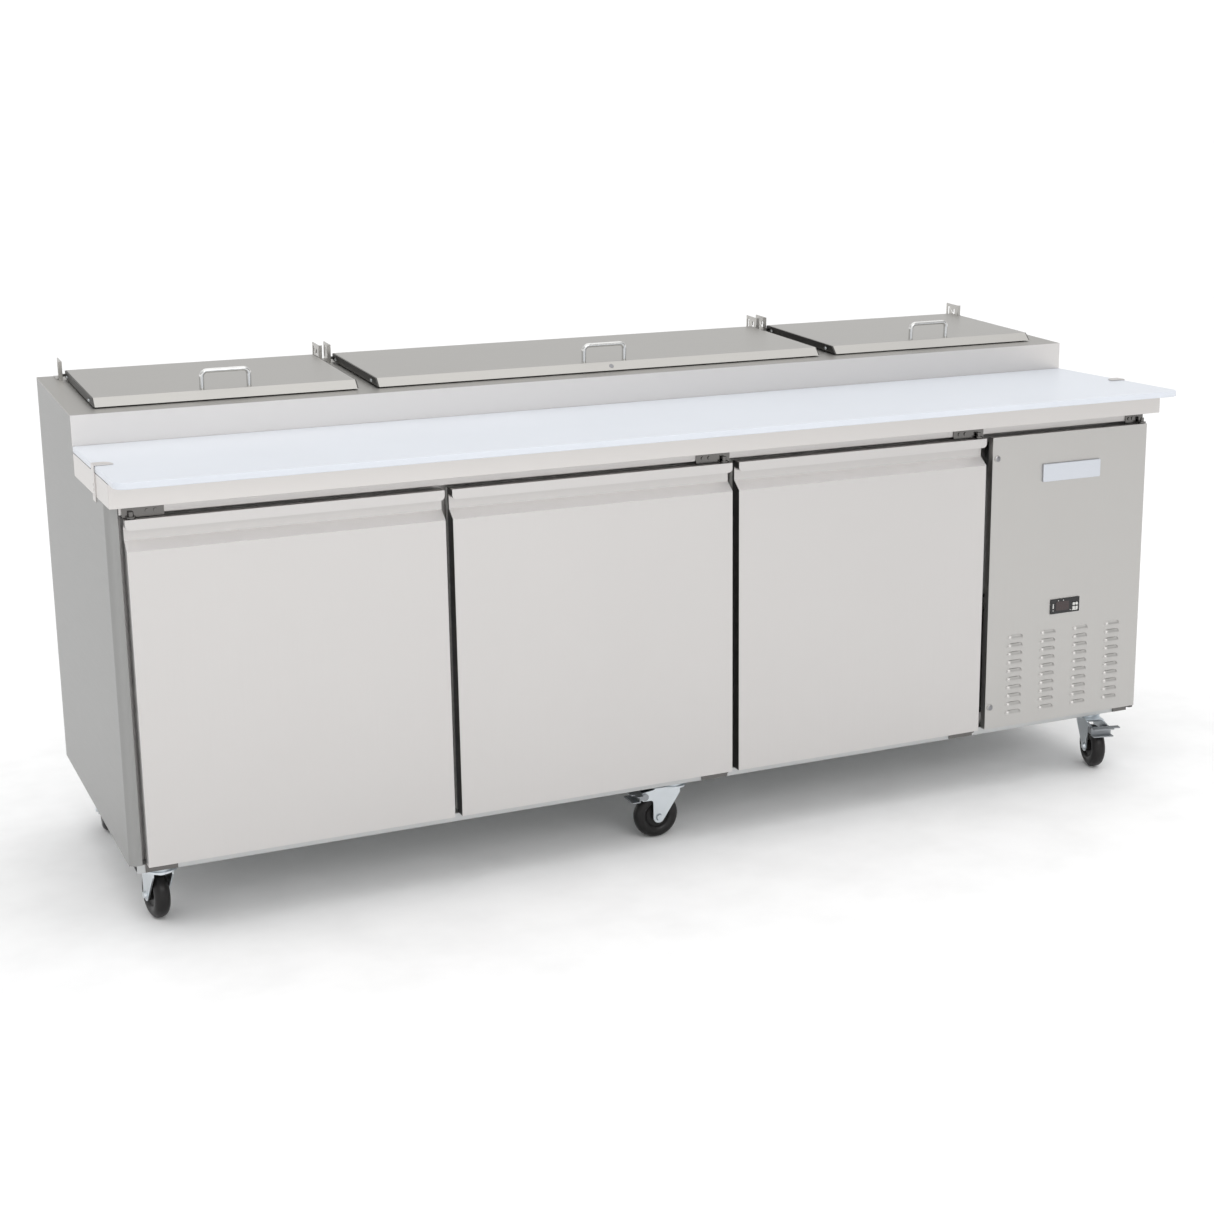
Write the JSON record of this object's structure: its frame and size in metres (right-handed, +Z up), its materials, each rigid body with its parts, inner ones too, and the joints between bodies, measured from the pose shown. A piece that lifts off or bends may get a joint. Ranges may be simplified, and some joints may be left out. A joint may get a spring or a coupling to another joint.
{
  "type": "refrigerated prep table",
  "caption": "Long stainless refrigerated prep table with a raised lidded pan rail, white cutting board, three doors, a louvred compressor bay and casters.",
  "frame": {"origin": "on the floor, under the middle of the width and of the whole depth", "axes": "+X to the right along the front, +Y towards the back, +Z up"},
  "size_m": [2.368, 0.8761, 1.0446],
  "materials": {
    "brushed": "fine horizontal or vertical brushing, satin",
    "polished": "bright drawn rod",
    "end_cap": "dark satin steel",
    "galvanised": "dull galvanised sheet",
    "zinc": "bright zinc plate",
    "liner": "smooth pale liner",
    "wire_coating": "coated wire",
    "coil": "plain fins with copper tubes",
    "black_paint": "semi-gloss black",
    "black_plastic": "smooth black plastic",
    "button": "light plastic",
    "rubber": "soft dark gasket",
    "board": "white polyethylene",
    "tread": "smooth dark wheel",
    "pedal": "dark stamped steel"
  },
  "bodies": {
    "cabinet": {"base_frame": "galvanised", "caster_plates": "zinc", "left_side_panel": "brushed", "right_side_panel": "brushed", "back_panel": "galvanised", "front_frame": "brushed", "inner_liner": "liner", "work_shelf": "brushed", "rail_housing": "brushed", "rail_well": "brushed", "food_pans": "brushed", "board_clips": "brushed", "door_hinge_brackets": "zinc", "lid_hinge_brackets": "brushed", "wire_shelves": "wire_coating", "compressor": "black_paint", "condenser": "coil", "evaporator": "coil"},
    "cutting_board": {"cutting_board": "board"},
    "lid_left_body": {"lid_left": "brushed", "lid_handle_left": "polished", "lid_ends_left": "end_cap"},
    "lid_middle_body": {"lid_middle": "brushed", "lid_handle_middle": "polished", "lid_ends_middle": "end_cap"},
    "lid_right_body": {"lid_right": "brushed", "lid_handle_right": "polished", "lid_ends_right": "end_cap"},
    "door_left": {"door_skin_left": "brushed", "door_liner_left": "liner", "door_gasket_left": "rubber"},
    "door_middle": {"door_skin_middle": "brushed", "door_liner_middle": "liner", "door_gasket_middle": "rubber"},
    "door_right": {"door_skin_right": "brushed", "door_liner_right": "liner", "door_gasket_right": "rubber"},
    "panel": {"service_panel": "brushed", "temperature_controller": "black_plastic", "badge_plate": "brushed"},
    "button_1_body": {"button_1": "button"},
    "button_2_body": {"button_2": "button"},
    "button_3_body": {"button_3": "button"},
    "button_4_body": {"button_4": "button"},
    "caster_front_left": {"caster_fork_front_left": "zinc"},
    "wheel_front_left": {"caster_wheel_front_left": "tread"},
    "caster_front_middle": {"caster_fork_front_middle": "zinc"},
    "wheel_front_middle": {"caster_wheel_front_middle": "tread"},
    "pedal_front_middle": {"brake_pedal_front_middle": "pedal"},
    "caster_front_right": {"caster_fork_front_right": "zinc"},
    "wheel_front_right": {"caster_wheel_front_right": "tread"},
    "pedal_front_right": {"brake_pedal_front_right": "pedal"},
    "caster_rear_left": {"caster_fork_rear_left": "zinc"},
    "wheel_rear_left": {"caster_wheel_rear_left": "tread"},
    "caster_rear_middle": {"caster_fork_rear_middle": "zinc"},
    "wheel_rear_middle": {"caster_wheel_rear_middle": "tread"},
    "caster_rear_right": {"caster_fork_rear_right": "zinc"},
    "wheel_rear_right": {"caster_wheel_rear_right": "tread"},
    "condenser_fan_body": {"condenser_fan": "black_plastic"},
    "evaporator_fan_body": {"evaporator_fan": "black_plastic"}
  },
  "joints": [
    {"name": "door_left_hinge", "type": "hinge", "parent": "cabinet", "child": "door_left", "pos_m": [-1.135, -0.322, 0.49], "axis": [0, 0, -1], "range_deg": [0, 90]},
    {"name": "door_middle_hinge", "type": "hinge", "parent": "cabinet", "child": "door_middle", "pos_m": [0.0885, -0.322, 0.49], "axis": [0, 0, 1], "range_deg": [0, 90]},
    {"name": "door_right_hinge", "type": "hinge", "parent": "cabinet", "child": "door_right", "pos_m": [0.722, -0.322, 0.49], "axis": [0, 0, 1], "range_deg": [0, 90]},
    {"name": "panel_hinge", "type": "hinge", "parent": "cabinet", "child": "panel", "pos_m": [1.168, -0.326, 0.49], "axis": [0, 0, 1], "range_deg": [0, 90]},
    {"name": "lid_left_hinge", "type": "hinge", "parent": "cabinet", "child": "lid_left_body", "pos_m": [-0.8525, 0.3898, 1.0107], "axis": [-1, 0, 0], "range_deg": [0, 90]},
    {"name": "lid_middle_hinge", "type": "hinge", "parent": "cabinet", "child": "lid_middle_body", "pos_m": [0, 0.3898, 1.0107], "axis": [-1, 0, 0], "range_deg": [0, 90]},
    {"name": "lid_right_hinge", "type": "hinge", "parent": "cabinet", "child": "lid_right_body", "pos_m": [0.8525, 0.3898, 1.0107], "axis": [-1, 0, 0], "range_deg": [0, 90]},
    {"name": "board_slide", "type": "slide", "parent": "cabinet", "child": "cutting_board", "axis": [0, -1, 0], "range_m": [0, 0.12]},
    {"name": "button_1_press", "type": "slide", "parent": "panel", "child": "button_1_body", "axis": [0, 1, 0], "range_m": [0, 0.001], "stiffness_N_per_m": 400},
    {"name": "button_2_press", "type": "slide", "parent": "panel", "child": "button_2_body", "axis": [0, 1, 0], "range_m": [0, 0.001], "stiffness_N_per_m": 400},
    {"name": "button_3_press", "type": "slide", "parent": "panel", "child": "button_3_body", "axis": [0, 1, 0], "range_m": [0, 0.001], "stiffness_N_per_m": 400},
    {"name": "button_4_press", "type": "slide", "parent": "panel", "child": "button_4_body", "axis": [0, 1, 0], "range_m": [0, 0.001], "stiffness_N_per_m": 400},
    {"name": "swivel_front_left", "type": "hinge", "parent": "cabinet", "child": "caster_front_left", "pos_m": [-1.111, -0.245, 0.114], "axis": [0, 0, 1], "continuous": true},
    {"name": "roll_front_left", "type": "hinge", "parent": "caster_front_left", "child": "wheel_front_left", "pos_m": [-1.11657, -0.20539, 0.05], "axis": [-0.9903, -0.1392, 0], "continuous": true},
    {"name": "swivel_front_middle", "type": "hinge", "parent": "cabinet", "child": "caster_front_middle", "pos_m": [0, -0.245, 0.114], "axis": [0, 0, 1], "continuous": true},
    {"name": "roll_front_middle", "type": "hinge", "parent": "caster_front_middle", "child": "wheel_front_middle", "pos_m": [-0.03998, -0.2436, 0.05], "axis": [-0.0349, -0.9994, 0], "continuous": true},
    {"name": "pedal_front_middle_tip", "type": "hinge", "parent": "caster_front_middle", "child": "pedal_front_middle", "pos_m": [-0.07296, -0.24245, 0.1], "axis": [-0.0349, -0.9994, 0], "range_deg": [0, 12]},
    {"name": "swivel_front_right", "type": "hinge", "parent": "cabinet", "child": "caster_front_right", "pos_m": [1.111, -0.245, 0.114], "axis": [0, 0, 1], "continuous": true},
    {"name": "roll_front_right", "type": "hinge", "parent": "caster_front_right", "child": "wheel_front_right", "pos_m": [1.10065, -0.28364, 0.05], "axis": [0.9659, -0.2588, 0], "continuous": true},
    {"name": "pedal_front_right_tip", "type": "hinge", "parent": "caster_front_right", "child": "pedal_front_right", "pos_m": [1.09211, -0.31551, 0.1], "axis": [0.9659, -0.2588, 0], "range_deg": [0, 12]},
    {"name": "swivel_rear_left", "type": "hinge", "parent": "cabinet", "child": "caster_rear_left", "pos_m": [-1.111, 0.371, 0.114], "axis": [0, 0, 1], "continuous": true},
    {"name": "roll_rear_left", "type": "hinge", "parent": "caster_rear_left", "child": "wheel_rear_left", "pos_m": [-1.11518, 0.33122, 0.05], "axis": [0.9945, -0.1045, 0], "continuous": true},
    {"name": "swivel_rear_middle", "type": "hinge", "parent": "cabinet", "child": "caster_rear_middle", "pos_m": [0, 0.371, 0.114], "axis": [0, 0, 1], "continuous": true},
    {"name": "roll_rear_middle", "type": "hinge", "parent": "caster_rear_middle", "child": "wheel_rear_middle", "pos_m": [0.00487, 0.3313, 0.05], "axis": [0.9925, 0.1219, 0], "continuous": true},
    {"name": "swivel_rear_right", "type": "hinge", "parent": "cabinet", "child": "caster_rear_right", "pos_m": [1.111, 0.371, 0.114], "axis": [0, 0, 1], "continuous": true},
    {"name": "roll_rear_right", "type": "hinge", "parent": "caster_rear_right", "child": "wheel_rear_right", "pos_m": [1.1096, 0.33102, 0.05], "axis": [0.9994, -0.0349, 0], "continuous": true},
    {"name": "condenser_fan_spin", "type": "hinge", "parent": "cabinet", "child": "condenser_fan_body", "pos_m": [0.964, -0.156, 0.285], "axis": [0, 1, 0], "continuous": true},
    {"name": "evaporator_fan_spin", "type": "hinge", "parent": "cabinet", "child": "evaporator_fan_body", "pos_m": [-0.206, 0.256, 0.69], "axis": [0, 1, 0], "continuous": true}
  ]
}
